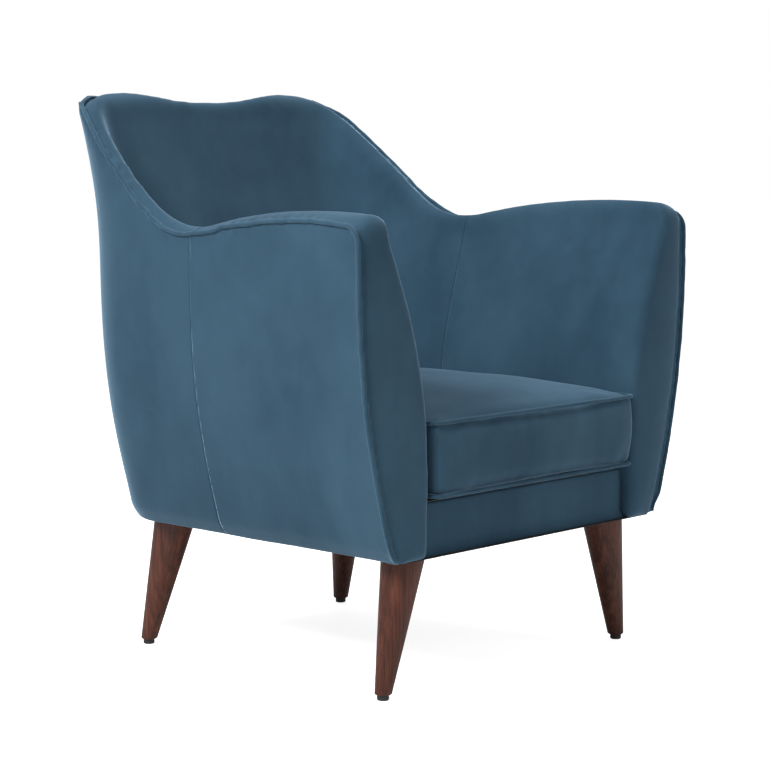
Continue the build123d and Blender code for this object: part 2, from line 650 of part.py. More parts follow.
def deck_room(low, high, growth):
    """Space of the seat deck between two heights, grown sideways by growth."""
    front_x = SEAT_HALF_WIDTH - 1 + growth
    rear_x = seat_rear_x(DECK_Z) - 1 + growth
    post_x = BACK_POST_FOOT[0] - BACK_POST_FOOT_SIZE / 2 - 1 + growth
    post_y = BACK_POST_FOOT[1] - BACK_POST_FOOT_SIZE / 2 - 1
    with BuildPart() as room:
        with BuildSketch(Plane.XY.offset(low)):
            with BuildLine():
                Polyline(
                    (0, RAIL_FRONT_Y + 5),
                    (front_x, RAIL_FRONT_Y + 5),
                    (rear_x, SEAT_BACK_Y - WALL_CORNER),
                    (post_x, post_y),
                    (post_x, DECK_BACK_Y + growth),
                    (0, DECK_BACK_Y + growth),
                    close=True,
                )
            make_face()
            mirror(about=Plane.YZ)
        extrude(amount=high - low)
    return room.part


with BuildPart() as deck_pad:
    add(deck_room(DECK_Z - DECK_CLOTH - DECK_PAD, DECK_Z - DECK_CLOTH, 0))

with BuildPart() as deck_cloth:
    add(deck_room(DECK_Z - DECK_CLOTH, DECK_Z, 0))


# ===== piping along the edges of the shell ==============================================
TOP_LINE = arm_and_wing_line().wire()


def edge_point(distance):
    """Point of the left top edge, this far along the arm and wing line from the arm's front."""
    spot = TOP_LINE.position_at(WING_WALL + distance, position_mode=PositionMode.LENGTH)
    return side_x(spot.Y, spot.Z), spot.Y, spot.Z


def wing_z(y):
    """Height of the straight wing line."""
    return VALLEY[1] + (HEIGHT - VALLEY[1]) * (y - VALLEY[0]) / (HORN_Y - VALLEY[0])


def dip_z(x):
    """Height of the top of the back: two equal arcs from the middle to the horn."""
    radius = ((HORN_X / 2) ** 2 + (BACK_DIP / 2) ** 2) / BACK_DIP
    if abs(x) < HORN_X / 2:
        return HEIGHT - BACK_DIP + radius - sqrt(radius**2 - x**2)
    return HEIGHT - radius + sqrt(radius**2 - (HORN_X - abs(x)) ** 2)


def horn_point(angle):
    """Point on the top edge of the shell where it turns round the left horn."""
    z = wing_z(HORN_Y) - WELT_DIAMETER
    radius = corner_radius(z)
    spoke = Vector(1, 0, 0).rotate(Axis.Z, angle) * radius
    x = side_x(back_y(z), z) - radius + spoke.X
    y = back_y(z) - radius + spoke.Y
    return x, y, min(wing_z(y), dip_z(x) if x < HORN_X else HEIGHT)


def back_edge_point(x):
    """Point on the rear edge of the back's top at half width x."""
    z = dip_z(x)
    rear = back_y(z)
    bow = BACK_BOW * (1 - (x / side_x(rear, z)) ** 2)
    return x, rear + bow, z


def piping(points):
    """Round cord along straight runs joined by the widest arcs that they allow."""
    corners = [Vector(*point) for point in points]
    radii = []
    for before, here, after in zip(corners, corners[1:], corners[2:]):
        turn = radians((here - before).get_angle(after - here))
        shorter = min((here - before).length, (after - here).length)
        radii.append(0.45 * shorter / tan(turn / 2))
    with BuildPart() as cord:
        with BuildLine() as route:
            FilletPolyline(*corners, radius=radii)
        with BuildSketch(Plane(route.line @ 0, z_dir=route.line % 0)):
            Circle(WELT_RADIUS)
        sweep()
    return cord


def middle(first, second):
    """The point half-way between two others."""
    return tuple((a + b) / 2 for a, b in zip(first, second))


front_heights = spread(SHELL_BOTTOM + UNDERCUT_HEIGHT + TOP_STEP, ARM_FRONT_Z - TOP_STEP, 6)
undercut_x = side_x(FRONT_Y, SHELL_BOTTOM + UNDERCUT_HEIGHT)
horn_low, horn_mid, horn_high = horn_point(15), horn_point(45), horn_point(80)
cord_meeting = middle(horn_mid, horn_high)
edge_points = [(undercut_x - UNDERCUT, FRONT_Y, RAIL_BOTTOM + 1)]
edge_points += [(undercut_x, FRONT_Y, SHELL_BOTTOM + UNDERCUT_HEIGHT)]
edge_points += [(side_x(FRONT_Y, z), FRONT_Y, z) for z in front_heights]
edge_points += [edge_point(0)]
wing_reach = TOP_LINE.length - WING_WALL - 2 * HORN_RADIUS
edge_points += [edge_point(reach) for reach in spread(TOP_STEP, wing_reach, 9)]
edge_points += [horn_low, horn_mid, cord_meeting]
left_edge_welt = piping(edge_points)
right_edge_welt = right_hand(left_edge_welt.part)

half_top = [cord_meeting, horn_high]
half_top += [back_edge_point(x) for x in (HORN_X * 0.82, HORN_X / 2, HORN_X / 5)]
back_top_welt = piping(half_top + [(-x, y, z) for x, y, z in reversed(half_top)])

# ===== foam and covers ====================================================================
outer_face = outside_solid(0)
outer_core = outside_solid(COVER)
seat_space = seat_solid(0)
seat_space_core = seat_solid(COVER)
above_top = top_waste(0)
above_core = top_waste(COVER)

with BuildPart() as welts:
    add(left_edge_welt.part)
    add(right_edge_welt.part)
    add(back_top_welt.part)

with BuildPart() as base_room:
    with BuildSketch(Plane.XY.offset(RAIL_BOTTOM)):
        with BuildLine():
            Polyline(
                (0, RAIL_FRONT_Y),
                (SIDE_RAIL_FRONT_X, RAIL_FRONT_Y),
                (SIDE_RAIL_FRONT_X, FRONT_BLOCK_BACK_Y),
                (SIDE_RAIL_BACK_X, BACK_BLOCK_FRONT_Y),
                (SIDE_RAIL_BACK_X, BACK_RAIL_Y),
                (0, BACK_RAIL_Y),
                close=True,
            )
        make_face()
        mirror(about=Plane.YZ)
    extrude(amount=RAIL_HEIGHT)
    add(deck_room(RAIL_TOP, DECK_Z + 0.5, 0.5))
    with Locations((0, RAIL_FRONT_Y + 5, RAIL_BOTTOM)):
        Box(
            2 * SEAT_HALF_WIDTH,
            HEIGHT,
            DECK_Z + 0.5 - RAIL_BOTTOM,
            align=(Align.CENTER, Align.MAX, Align.MIN),
        )

with BuildPart() as foam_region:
    add(outer_core)
    add(seat_space_core, mode=Mode.SUBTRACT)
    add(above_core, mode=Mode.SUBTRACT)
    add(base_room.part, mode=Mode.SUBTRACT)
    add(welts.part, mode=Mode.SUBTRACT)
    split(bisect_by=Plane.XZ.offset(-FRONT_Y - COVER), keep=Keep.BOTTOM)

with BuildPart() as outer_skin:
    add(outer_face)
    add(outer_core, mode=Mode.SUBTRACT)
    add(above_top, mode=Mode.SUBTRACT)
    add(welts.part, mode=Mode.SUBTRACT)

with BuildPart() as inner_skin:
    add(outside_solid(INNER_COVER_EDGE))
    add(seat_space, mode=Mode.SUBTRACT)
    add(above_top, mode=Mode.SUBTRACT)
    add(base_room.part, mode=Mode.SUBTRACT)
    add(foam_region.part, mode=Mode.SUBTRACT)


def left_arm_of(region):
    """The left arm's share of a region: in front of the seam, on +X."""
    with BuildPart() as arm:
        add(region)
        split(bisect_by=Plane.XZ.offset(-SEAM_Y), keep=Keep.TOP)
        split(bisect_by=Plane.YZ, keep=Keep.TOP)
    return largest(arm.part)


def back_of(region):
    """The back's share of a region, with both wings."""
    with BuildPart() as back:
        add(region)
        split(bisect_by=Plane.XZ.offset(-SEAM_Y), keep=Keep.BOTTOM)
    return largest(back.part)


def foam_around(region, frame_pieces):
    """A region of foam with pockets for the pieces of the frame inside it."""
    with BuildPart() as foam:
        add(region)
        for frame_piece in frame_pieces:
            add(frame_piece.part, mode=Mode.SUBTRACT)
    return largest(foam.part)


with BuildPart() as left_arm_foam:
    add(foam_around(left_arm_of(foam_region.part), (left_arm_post, left_arm_rail)))

back_posts = (left_back_post, right_back_post)
rails_in_back = (left_arm_rail, right_arm_rail, back_top_rail, back_tack_rail)
whole_back_foam = foam_around(back_of(foam_region.part), back_posts + rails_in_back + (back_webbing,))

with BuildPart() as back_foam:
    add(whole_back_foam)
    split(bisect_by=Plane.YZ.offset(WING_FOAM_X), keep=Keep.BOTTOM)
    split(bisect_by=Plane.YZ.offset(-WING_FOAM_X), keep=Keep.TOP)

with BuildPart() as left_wing_foam:
    add(whole_back_foam)
    split(bisect_by=Plane.YZ.offset(WING_FOAM_X), keep=Keep.TOP)

right_wing_foam = right_hand(left_wing_foam.part)

with BuildPart() as left_inside_arm_cover:
    add(left_arm_of(inner_skin.part))

with BuildPart() as left_outside_arm_cover:
    add(left_arm_of(outer_skin.part))

with BuildPart() as inside_back_cover:
    add(back_of(inner_skin.part))

with BuildPart() as outside_back_cover:
    add(back_of(outer_skin.part))

right_arm_foam = right_hand(left_arm_foam.part)
right_inside_arm_cover = right_hand(left_inside_arm_cover.part)
right_outside_arm_cover = right_hand(left_outside_arm_cover.part)


# ===== front rail and underside ===========================================================
def rail_wrap(inset):
    """Side profile of the covered front rail, from its face to the deck, set in by inset."""
    face = RAIL_FACE_Y + inset
    top = DECK_Z - inset
    with BuildSketch(Plane.YZ.offset(1 - SEAT_HALF_WIDTH)) as wrap:
        with BuildLine():
            Polyline(
                (face, RAIL_BOTTOM),
                (face, top),
                (RAIL_FRONT_Y + RAIL_COVER_LAP, top),
                (RAIL_FRONT_Y + RAIL_COVER_LAP, RAIL_BOTTOM),
                close=True,
            )
        make_face()
        fillet(wrap.vertices().sort_by_distance((0, face, top))[0], RAIL_PADDING + COVER - inset)
    return wrap.sketch


def behind_rail_padding():
    """The timber's share of the rail wrap: the front rail and the leg blocks."""
    with BuildPart() as timber:
        with Locations((0, RAIL_FRONT_Y, RAIL_BOTTOM)):
            Box(
                2 * SEAT_HALF_WIDTH,
                BLOCK,
                RAIL_HEIGHT,
                align=(Align.CENTER, Align.MIN, Align.MIN),
            )
    return timber.part


with BuildPart() as front_rail_padding:
    extrude(rail_wrap(COVER), amount=2 * (SEAT_HALF_WIDTH - 1))
    add(behind_rail_padding(), mode=Mode.SUBTRACT)

with BuildPart() as front_rail_cover:
    extrude(rail_wrap(0), amount=2 * (SEAT_HALF_WIDTH - 1))
    add(front_rail_padding.part, mode=Mode.SUBTRACT)
    add(behind_rail_padding(), mode=Mode.SUBTRACT)

with BuildPart() as dust_cover:
    with BuildSketch(Plane.XY.offset(SHELL_BOTTOM)):
        add(outer_section(RAIL_BOTTOM, UNDERCUT + 6).moved(Location((0, 0, SHELL_BOTTOM - RAIL_BOTTOM))))
    extrude(amount=DUST_COVER)
    add(front_rail_cover.part, mode=Mode.SUBTRACT)
    with Locations([(x, y, SHELL_BOTTOM) for x, y in BOLT_POINTS]):
        Cylinder(BOLT_DIAMETER / 2, DUST_COVER * 3, mode=Mode.SUBTRACT)
    add(staples.part, mode=Mode.SUBTRACT)

# ===== loose seat cushion ===================================================================
CUSHION_MARGIN = CUSHION_GAP + WELT_RADIUS
CUSHION_BACK_Y = SEAT_BACK_Y - CUSHION_MARGIN


def cushion_section(z, seam_z, inset):
    """Plan section of the cushion at z, with the outline of its seam at seam_z set in by inset."""
    front_x = seat_front_x(seam_z) - CUSHION_MARGIN
    rear_x = seat_rear_x(seam_z) - CUSHION_MARGIN
    with BuildSketch(Plane.XY.offset(z)) as section:
        with BuildLine():
            Polyline(
                (front_x, CUSHION_FRONT_Y),
                (rear_x, CUSHION_BACK_Y),
                (-rear_x, CUSHION_BACK_Y),
                (-front_x, CUSHION_FRONT_Y),
                close=True,
            )
        make_face()
        fillet(section.vertices().group_by(Axis.Y)[-1], CUSHION_CORNER)
        fillet(section.vertices().group_by(Axis.Y)[0], CUSHION_FRONT_CORNER)
        if inset:
            offset(amount=-inset)
    return section.sketch


def pillow_profile(near, far, inset):
    """Profile between a domed top and a bellied underside, from near to far."""
    high = CUSHION_HIGH_Z - inset
    low = CUSHION_LOW_Z + inset
    centre = (near + far) / 2
    with BuildLine() as outline:
        ThreePointArc((near, high), (centre, high + CUSHION_CROWN), (far, high))
        Line((far, high), (far, low))
        ThreePointArc((far, low), (centre, low - CUSHION_BELLY), (near, low))
        Line((near, low), (near, high))
    return outline.line


def cushion_solid(inset):
    """The whole cushion as one solid, set in by inset."""
    low = cushion_section(CUSHION_LOW_Z, CUSHION_LOW_Z, inset)
    high = cushion_section(CUSHION_HIGH_Z, CUSHION_HIGH_Z, inset)
    half_width = seat_front_x(CUSHION_HIGH_Z) - CUSHION_GAP
    near = CUSHION_FRONT_Y - WELT_RADIUS
    far = CUSHION_BACK_Y + WELT_RADIUS
    with BuildPart() as cushion:
        loft([low, high], ruled=True)
        extrude(high, amount=CUSHION_CROWN)
        extrude(low, amount=-CUSHION_BELLY)
        with BuildSketch(Plane.YZ.offset(-half_width)):
            make_face(pillow_profile(near, far, inset))
        extrude(amount=2 * half_width, mode=Mode.INTERSECT)
        with BuildSketch(Plane.XZ.offset(-far)):
            make_face(pillow_profile(-half_width, half_width, inset))
        extrude(amount=far - near, mode=Mode.INTERSECT)
    return cushion.part


def cushion_welt(seam_z):
    """Piping all round the cushion at one of its seams."""
    outline = cushion_section(seam_z, seam_z, 0).face().outer_wire()
    with BuildPart() as ring:
        with BuildSketch(Plane(outline @ 0, z_dir=outline % 0)):
            Circle(WELT_RADIUS)
        sweep(path=outline)
    return ring


cushion_top_welt = cushion_welt(CUSHION_HIGH_Z)
cushion_bottom_welt = cushion_welt(CUSHION_LOW_Z)
ZIP_Z = (CUSHION_LOW_Z + CUSHION_HIGH_Z) / 2

with BuildPart() as cushion_core:
    add(cushion_solid(COVER))
    add(cushion_top_welt.part, mode=Mode.SUBTRACT)
    add(cushion_bottom_welt.part, mode=Mode.SUBTRACT)

with BuildPart() as cushion_skin:
    add(cushion_solid(0))
    add(cushion_solid(COVER), mode=Mode.SUBTRACT)
    add(cushion_top_welt.part, mode=Mode.SUBTRACT)
    add(cushion_bottom_welt.part, mode=Mode.SUBTRACT)


def skin_between(low_z, high_z):
    """The part of the cushion's cover between two heights."""
    with BuildPart() as panel:
        add(cushion_skin.part)
        split(bisect_by=Plane.XY.offset(low_z), keep=Keep.TOP)
        split(bisect_by=Plane.XY.offset(high_z), keep=Keep.BOTTOM)
    return largest(panel.part)


with BuildPart() as cushion_top_panel:
    add(skin_between(CUSHION_HIGH_Z, CUSHION_HIGH_Z + CUSHION_CROWN))

with BuildPart() as cushion_bottom_panel:
    add(skin_between(CUSHION_LOW_Z - CUSHION_BELLY, CUSHION_LOW_Z))

with BuildPart() as cushion_border:
    add(skin_between(CUSHION_LOW_Z, CUSHION_HIGH_Z))

with BuildPart(Plane.XY.offset(ZIP_Z)) as cushion_zip:
    with Locations((0, CUSHION_BACK_Y)):
        Box(ZIP_LENGTH, ZIP_TAPE, ZIP_TAPE_HEIGHT, align=(Align.CENTER, Align.MIN, Align.CENTER))
    with Locations((0, CUSHION_BACK_Y + ZIP_TAPE)):
        Box(ZIP_LENGTH - ZIP_CHAIN, ZIP_TEETH, ZIP_CHAIN, align=(Align.CENTER, Align.MIN, Align.CENTER))

with BuildPart() as zip_slider:
    length, depth, height = SLIDER
    with BuildSketch(Plane.YZ.offset(SLIDER_CLEARANCE - (ZIP_LENGTH - ZIP_CHAIN) / 2)):
        with Locations((CUSHION_BACK_Y + ZIP_TAPE + SLIDER_CLEARANCE, ZIP_Z)):
            Rectangle(depth, height, align=(Align.MIN, Align.CENTER))
            slot = (ZIP_TEETH, ZIP_CHAIN + 2 * SLIDER_CLEARANCE)
            Rectangle(*slot, align=(Align.MIN, Align.CENTER), mode=Mode.SUBTRACT)
    extrude(amount=length)
    outer_face_edges = zip_slider.edges().filter_by(Axis.X).group_by(Axis.Y)[-1]
    fillet(outer_face_edges, 1)

# ===== write every piece =====================================================================
for leg_name, leg_part in legs.items():
    save(leg_part, leg_name)
save(leg_glides, "leg_glides")
save(leg_bolts, "leg_bolts")
save(insert_nuts, "insert_nuts")

save(leg_blocks, "leg_blocks")
save(front_rail, "front_rail")
save(back_rail, "back_rail")
save(left_side_rail, "left_side_rail")
save(right_side_rail, "right_side_rail")
save(left_arm_post, "left_arm_post")
save(right_arm_post, "right_arm_post")
save(left_arm_rail, "left_arm_rail")
save(right_arm_rail, "right_arm_rail")
save(left_back_post, "left_back_post")
save(right_back_post, "right_back_post")
save(back_top_rail, "back_top_rail")
save(back_tack_rail, "back_tack_rail")
save(frame_dowels, "frame_dowels")

save(seat_springs, "seat_springs")
save(spring_clips, "spring_clips")
save(back_webbing, "back_webbing")
save(deck_pad, "deck_pad")
save(deck_cloth, "deck_cloth")

save(left_arm_foam, "left_arm_foam")
save(right_arm_foam, "right_arm_foam")
save(back_foam, "back_foam")
save(left_wing_foam, "left_wing_foam")
save(right_wing_foam, "right_wing_foam")
save(front_rail_padding, "front_rail_padding")

save(left_inside_arm_cover, "left_inside_arm_cover")
save(right_inside_arm_cover, "right_inside_arm_cover")
save(left_outside_arm_cover, "left_outside_arm_cover")
save(right_outside_arm_cover, "right_outside_arm_cover")
save(inside_back_cover, "inside_back_cover")
save(outside_back_cover, "outside_back_cover")
save(front_rail_cover, "front_rail_cover")
save(dust_cover, "dust_cover")
save(staples, "dust_cover_staples")
save(left_edge_welt, "left_edge_welt")
save(right_edge_welt, "right_edge_welt")
save(back_top_welt, "back_top_welt")

save(cushion_core, "cushion_core")
save(cushion_top_panel, "cushion_top_panel")
save(cushion_bottom_panel, "cushion_bottom_panel")
save(cushion_border, "cushion_border")
save(cushion_top_welt, "cushion_top_welt")
save(cushion_bottom_welt, "cushion_bottom_welt")
save(cushion_zip, "cushion_zip")
save(zip_slider, "zip_slider")
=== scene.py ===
"""Looks of a velvet armchair with piped edges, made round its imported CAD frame.

Sizes are in metres in the chair's own frame: it faces -Y, stands on Z = 0, and the
sitter's left is +X.
"""
import json
import math

import bmesh
import bpy
import numpy as np
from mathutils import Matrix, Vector, kdtree, noise


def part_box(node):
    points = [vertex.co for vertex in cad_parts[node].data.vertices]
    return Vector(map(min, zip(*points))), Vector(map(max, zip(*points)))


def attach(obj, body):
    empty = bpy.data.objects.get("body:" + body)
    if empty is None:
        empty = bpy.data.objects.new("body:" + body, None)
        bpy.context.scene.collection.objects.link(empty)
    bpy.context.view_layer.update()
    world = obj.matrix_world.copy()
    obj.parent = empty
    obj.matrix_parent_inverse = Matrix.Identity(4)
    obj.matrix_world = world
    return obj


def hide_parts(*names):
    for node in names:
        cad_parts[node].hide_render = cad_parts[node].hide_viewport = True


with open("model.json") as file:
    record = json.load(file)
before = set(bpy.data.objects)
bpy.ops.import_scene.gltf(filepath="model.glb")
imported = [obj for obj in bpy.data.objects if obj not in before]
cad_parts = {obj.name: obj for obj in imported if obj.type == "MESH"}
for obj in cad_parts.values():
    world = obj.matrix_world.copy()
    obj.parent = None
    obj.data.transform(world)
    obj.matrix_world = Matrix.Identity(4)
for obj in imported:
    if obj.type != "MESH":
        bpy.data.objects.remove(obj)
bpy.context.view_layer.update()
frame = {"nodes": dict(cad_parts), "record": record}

# --- places taken from the frame ----------------------------------------------------------------
SEAM_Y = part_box("outside_back_cover")[0].y
ARM_FRONT_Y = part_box("left_outside_arm_cover")[0].y
RAIL_HALF_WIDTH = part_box("front_rail_cover")[1].x
UNDERSIDE_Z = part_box("dust_cover")[0].z
RAIL_FACE_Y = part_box("front_rail_cover")[0].y
SEAT_LOW_Z = (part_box("cushion_bottom_welt")[0].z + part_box("cushion_bottom_welt")[1].z) / 2
SEAT_HIGH_Z = (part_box("cushion_top_welt")[0].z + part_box("cushion_top_welt")[1].z) / 2

# --- skin of the padded shell -------------------------------------------------------------------
SHELL_VOXEL = 0.0038
ARM_CREST_RISE = 0.019      # padding above the piping along the arms and wings
CREST_BLEND = 0.012         # distance from the piping over which it rises
BACK_CREST_RISE = 0.012     # padding that fills out the top of the back
BACK_WELT_DROP = 0.009      # how far below the crest the piping of the back runs
BACK_WELT_BLEND = 0.016
ARM_FRONT_SWELL = 0.010     # how far the arm fronts bulge
ARM_FRONT_BLEND = 0.02
ARM_CORNER_Z = 0.660        # height of the arms' front top corners
PADDING_ROUNDS = 30         # how often the padding's inner edges are evened out
HORN_TIP = (0.283, 0.322, 0.826)  # half width, depth and height of the tip of a horn
HORN_REACH = 0.038          # the corner round the tip of a horn is rounded this far
HORN_ROUNDS = 24
WELT_EDGE_SOFTNESS = 0.30   # how much the skin's edge under the piping is evened out
GROOVE_DEPTH = 0.0010       # of the skin under the piping
GROOVE_REACH = 0.0055
SEAM_HALF_WIDTH = 0.0011
SEAM_DEPTH = 0.0042
UNDERSIDE_WRAP = 0.0025     # how far the velvet wraps below the dust cover

# --- piping of the shell ------------------------------------------------------------------------
WELT_RADIUS = 0.003
WELT_VOXEL = 0.0012
PIPING_STEP = 25            # every which point of a cord guides its run
PIPING_BESIDE = 14          # points of the skin that a guide lies on
PIPING_GUIDES = 30          # guides that share in the run at a point
PIPING_BLEND = 0.007        # how far along a cord its shifts are evened out
PIPING_STAND = 0.0024       # how far the middle of a cord stands off the skin
PIPING_TUCK = 0.004         # how far the ends of a cord are tucked in and up at the underside

# --- front rail ---------------------------------------------------------------------------------
RAIL_VOXEL = 0.004
RAIL_END_REACH = 0.010      # how far the rail's velvet is tucked in beside the arms

# --- loose cushion ------------------------------------------------------------------------------
CUSHION_VOXEL = 0.006
FILLING_PRESSURE = 4.0
FILLING_STEPS = 20
TOP_ROOM = 0.008            # how far the filling may push the top out
SIDE_ROOM = 0.0015          # the same beside the shell and underneath
FRONT_ROOM = 0.003          # the same at the front
CUSHION_FRONT_SWELL = 0.006  # how far the cushion's front bulges between its piping

# --- light --------------------------------------------------------------------------------------
FLOOR_GLOW = 0.82           # extra white of the floor, seen by the camera alone
AMBIENT = 0.26              # strength of the white surroundings as a light


# ===== small helpers ============================================================================
def smooth_step(values, low, high):
    """0 below low, 1 above high, smooth between; works on arrays and numbers."""
    share = np.clip((values - low) / (high - low), 0, 1)
    return share * share * (3 - 2 * share)


def select_only(piece):
    bpy.ops.object.select_all(action="DESELECT")
    piece.select_set(True)
    bpy.context.view_layer.objects.active = piece


def new_piece(name, mesh):
    """An object for a bmesh, with its origin at the world's."""
    data = bpy.data.meshes.new(name)
    mesh.to_mesh(data)
    mesh.free()
    piece = bpy.data.objects.new(name, data)
    bpy.context.scene.collection.objects.link(piece)
    return piece


def copy_of(name, nodes):
    """A new piece that holds the solids of these CAD nodes, their doubles merged."""
    mesh = bmesh.new()
    for node in nodes:
        mesh.from_mesh(frame["nodes"][node].data)
    bmesh.ops.remove_doubles(mesh, verts=mesh.verts, dist=1e-5)
    for face in mesh.faces:
        face.material_index = 0
    return new_piece(name, mesh)


def apply_modifier(piece, kind, **settings):
    """Add a modifier with these settings and apply it."""
    select_only(piece)
    modifier = piece.modifiers.new(kind.lower(), kind)
    for setting, value in settings.items():
        setattr(modifier, setting, value)
    bpy.ops.object.modifier_apply(modifier=modifier.name)


def points_of(piece):
    """The piece's vertices as rows of x, y and z."""
    flat = np.empty(len(piece.data.vertices) * 3)
    piece.data.vertices.foreach_get("co", flat)
    return flat.reshape(-1, 3)


def normals_of(piece):
    flat = np.empty(len(piece.data.vertices) * 3, np.float32)
    piece.data.vertex_normals.foreach_get("vector", flat)
    return flat.reshape(-1, 3).astype(float)


def set_points(piece, points):
    piece.data.vertices.foreach_set("co", points.ravel())
    piece.data.update()


def set_group(piece, name, weights):
    """A vertex group that holds a weight for every vertex, in steps of a twentieth."""
    group = piece.vertex_groups.new(name=name)
    steps = np.round(weights * 20).astype(int)
    for step in range(1, 21):
        members = np.nonzero(steps == step)[0].tolist()
        if members:
            group.add(members, step / 20, "REPLACE")
    return name


def tree_of(points):
    """A search tree over rows of points."""
    tree = kdtree.KDTree(len(points))
    for index, point in enumerate(points):
        tree.insert(point, index)
    tree.balance()
    return tree


def distances(points, tree):
    """Distance from every point to the nearest one in the tree."""
    return np.array([tree.find(point)[2] for point in points])


def evened(piece, values, rounds):
    """Values of a piece's vertices, each averaged with its neighbours this many times."""
    ends = np.empty(len(piece.data.edges) * 2, int)
    piece.data.edges.foreach_get("vertices", ends)
    first, second = ends.reshape(-1, 2).T
    count = np.bincount(ends, minlength=len(values))
    for _ in range(rounds):
        around = np.bincount(first, values[second], len(values))
        around = around + np.bincount(second, values[first], len(values))
        values = 0.5 * values + 0.5 * around / np.maximum(count, 1)
    return values


def noise_of(points, scale, seed):
    """Smooth noise from -1 to 1 at every point; scale is in waves per metre, one per axis."""
    offset = Vector((seed * 17.3, seed * 5.1, seed * 9.7))
    return np.array([noise.noise(Vector(point) + offset) for point in points * np.array(scale)])


# ===== materials ================================================================================
class Finish:
    """A procedural material and the few node chains that the finishes share."""

    def __init__(self, name):
        self.material = bpy.data.materials.new(name)
        self.material.use_nodes = True
        self.tree = self.material.node_tree
        self.shader = self.tree.nodes["Principled BSDF"]
        self.where = self.add("ShaderNodeTexCoord").outputs["Object"]

    def add(self, kind, **settings):
        node = self.tree.nodes.new(kind)
        for setting, value in settings.items():
            setattr(node, setting, value)
        return node

    def link(self, source, target):
        self.tree.links.new(source, target)

    def mapped(self, scale, rotation=(0, 0, 0)):
        """Object coordinates, turned and stretched."""
        mapping = self.add("ShaderNodeMapping")
        mapping.inputs["Scale"].default_value = scale
        mapping.inputs["Rotation"].default_value = rotation
        self.link(self.where, mapping.inputs["Vector"])
        return mapping.outputs["Vector"]

    def noise(self, vector, scale, detail=3.0, distortion=0.0):
        """Noise from 0 to 1 along a vector."""
        texture = self.add("ShaderNodeTexNoise")
        texture.inputs["Scale"].default_value = scale
        texture.inputs["Detail"].default_value = detail
        texture.inputs["Distortion"].default_value = distortion
        self.link(vector, texture.inputs["Vector"])
        return texture.outputs["Fac"]

    def ramp(self, value, stops):
        """Colours along a value; stops are (place, colour)."""
        ramp = self.add("ShaderNodeValToRGB")
        elements = ramp.color_ramp.elements
        while len(elements) < len(stops):
            elements.new(0.5)
        for element, (place, colour) in zip(elements, stops):
            element.position = place
            element.color = (*colour, 1)
        self.link(value, ramp.inputs["Fac"])
        return ramp.outputs["Color"]

    def blend(self, factor, first, second, how="MIX"):
        """Two colours mixed; the factor is a number or a socket."""
        mix = self.add("ShaderNodeMix", data_type="RGBA", blend_type=how)
        if isinstance(factor, (int, float)):
            mix.inputs["Factor"].default_value = factor
        else:
            self.link(factor, mix.inputs["Factor"])
        self.link(first, mix.inputs["A"])
        self.link(second, mix.inputs["B"])
        return mix.outputs["Result"]

    def bump(self, height, strength, distance, before=None):
        """Relief from a height, on top of an earlier one if there is one."""
        bump = self.add("ShaderNodeBump")
        bump.inputs["Strength"].default_value = strength
        bump.inputs["Distance"].default_value = distance
        self.link(height, bump.inputs["Height"])
        if before is not None:
            self.link(before, bump.inputs["Normal"])
        return bump.outputs["Normal"]

    def spread(self, value, low, high):
        """A 0 to 1 value spread from low to high."""
        reach = self.add("ShaderNodeMapRange")
        reach.inputs["To Min"].default_value = low
        reach.inputs["To Max"].default_value = high
        self.link(value, reach.inputs["Value"])
        return reach.outputs["Result"]


def velvet(name, dark, light, nap_scale=1.0):
    """Short-pile velvet: brushed patches of nap, a pale sheen at the edges, fine fibres."""
    finish = Finish(name)
    patches = finish.noise(finish.mapped((4, 4, 3)), nap_scale, 3, 0.5)
    smudges = finish.noise(finish.mapped((34, 34, 26)), nap_scale, 4, 0.6)
    fibres = finish.noise(finish.mapped((1, 1, 0.7)), 1300, 2)
    nap = finish.ramp(patches, [(0.34, dark), (0.7, light)])
    brushed = finish.ramp(smudges, [(0.34, dark), (0.68, light)])
    pile = finish.ramp(fibres, [(0.25, dark), (0.8, light)])
    colour = finish.blend(0.25, finish.blend(0.2, nap, brushed), pile)
    finish.link(colour, finish.shader.inputs["Base Color"])
    finish.link(finish.spread(smudges, 0.82, 0.94), finish.shader.inputs["Roughness"])
    soft = finish.bump(smudges, 0.05, 0.002)
    finish.link(finish.bump(fibres, 0.18, 0.0004, soft), finish.shader.inputs["Normal"])
    finish.shader.inputs["Specular IOR Level"].default_value = 0.12
    finish.shader.inputs["Sheen Weight"].default_value = 0.55
    finish.shader.inputs["Sheen Roughness"].default_value = 0.36
    finish.shader.inputs["Sheen Tint"].default_value = (0.50, 0.76, 1.0, 1)
    return finish.material


def stained_wood(name, lean):
    """Stained, lacquered hardwood with its grain along a leg that leans by these angles."""
    finish = Finish(name)
    along = finish.mapped((70, 70, 5), lean)
    fine = finish.mapped((420, 420, 11), lean)
    bands = finish.noise(along, 1, 4, 1.6)
    grain = finish.noise(fine, 1, 3, 0.4)
    browns = [
        (0.28, (0.040, 0.0100, 0.0050)),
        (0.52, (0.088, 0.0225, 0.0105)),
        (0.78, (0.145, 0.042, 0.019)),
    ]
    figure = finish.ramp(bands, browns)
    pores = finish.ramp(grain, [(0.36, (0.35, 0.3, 0.28)), (0.58, (1, 1, 1))])
    finish.link(finish.blend(0.75, figure, pores, "MULTIPLY"), finish.shader.inputs["Base Color"])
    finish.link(finish.spread(grain, 0.56, 0.44), finish.shader.inputs["Roughness"])
    finish.link(finish.bump(grain, 0.25, 0.0003), finish.shader.inputs["Normal"])
    finish.shader.inputs["Specular IOR Level"].default_value = 0.3
    finish.shader.inputs["Coat Weight"].default_value = 0.1
    finish.shader.inputs["Coat Roughness"].default_value = 0.3
    return finish.material


